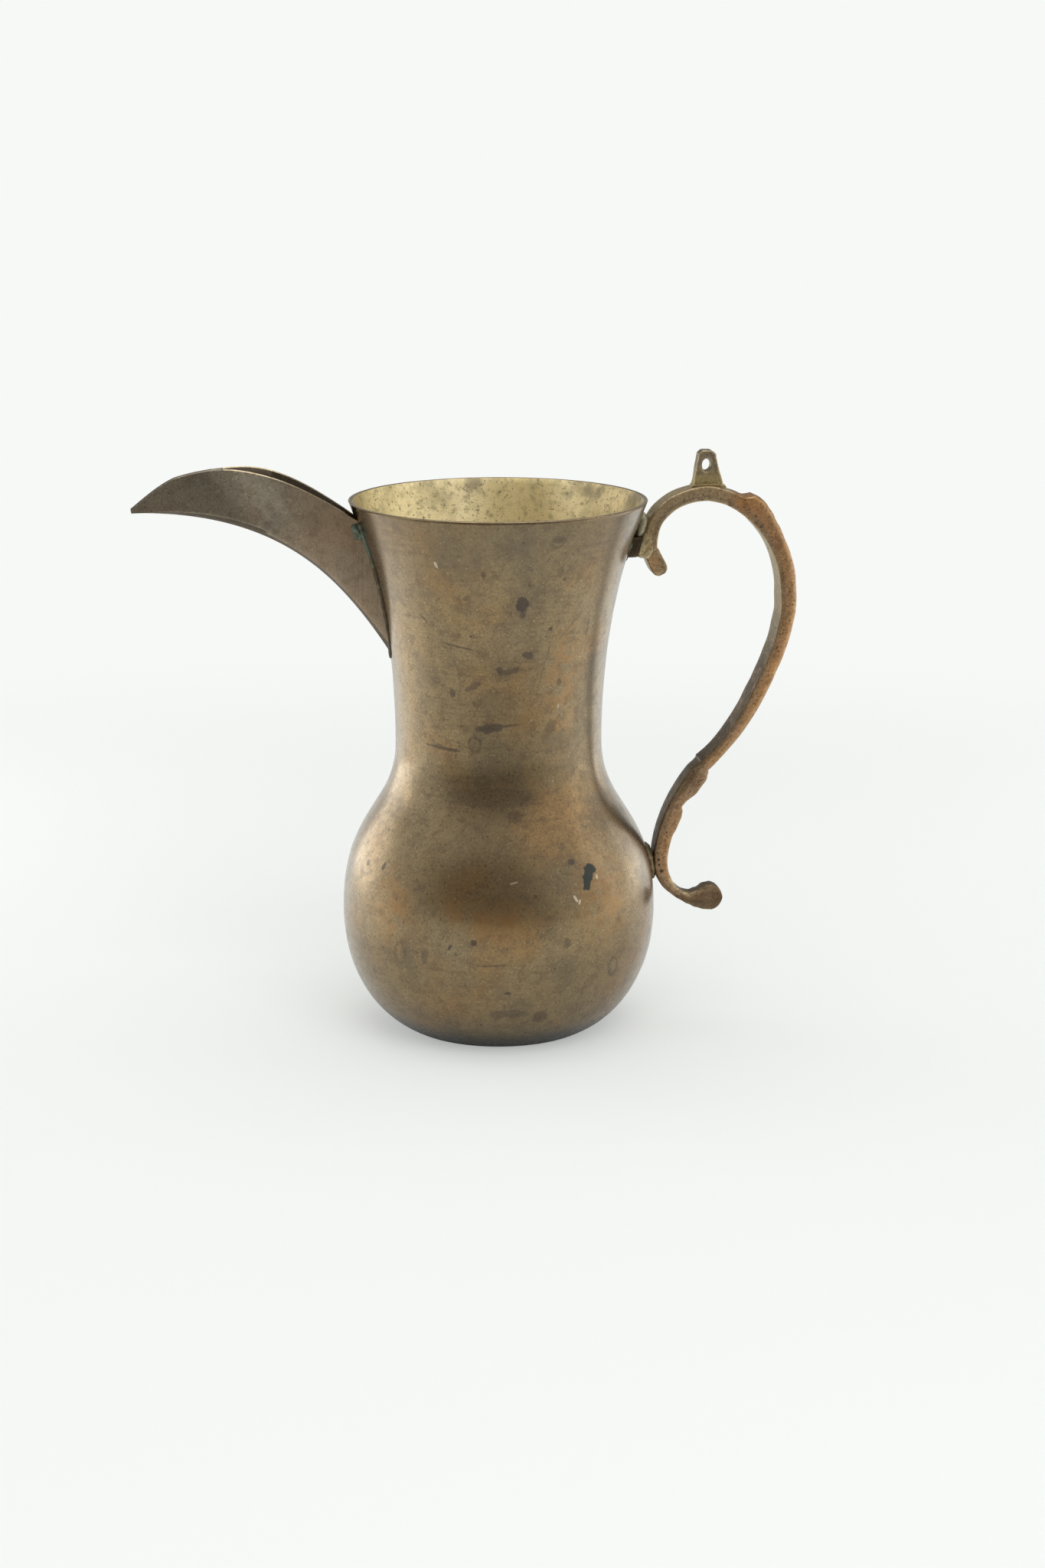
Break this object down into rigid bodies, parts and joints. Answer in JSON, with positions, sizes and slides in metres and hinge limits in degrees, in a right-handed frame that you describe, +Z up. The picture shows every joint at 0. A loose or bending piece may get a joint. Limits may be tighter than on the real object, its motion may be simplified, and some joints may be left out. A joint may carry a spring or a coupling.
{
  "type": "pitcher",
  "caption": "Brass pitcher with a round belly, flared neck, crescent beak spout and cast scroll handle that carries a lid hinge lug; it holds and pours liquids.",
  "frame": {"origin": "middle of the flat underside of the base disc", "axes": "+Z up along the body's axis, +X towards the handle, -X towards the spout"},
  "size_m": [0.1878, 0.0896, 0.1661],
  "materials": {
    "patina_brass": "aged satin brass with a brown patina",
    "spout_brass": "aged brushed brass with a grey-brown patina",
    "cast_brass": "worn cast brass with an orange-brown patina",
    "solder": "dull grey-green solder"
  },
  "bodies": {
    "root": {"body_shell": "patina_brass", "base_disc": "patina_brass", "base_solder": "solder", "spout_left_cheek": "spout_brass", "spout_right_cheek": "spout_brass", "spout_root_solder": "solder", "neck_block": "cast_brass", "block_solder": "solder", "handle": "cast_brass", "hinge_lug": "cast_brass", "lug_braze": "solder", "lower_handle_solder": "solder"}
  },
  "joints": []
}
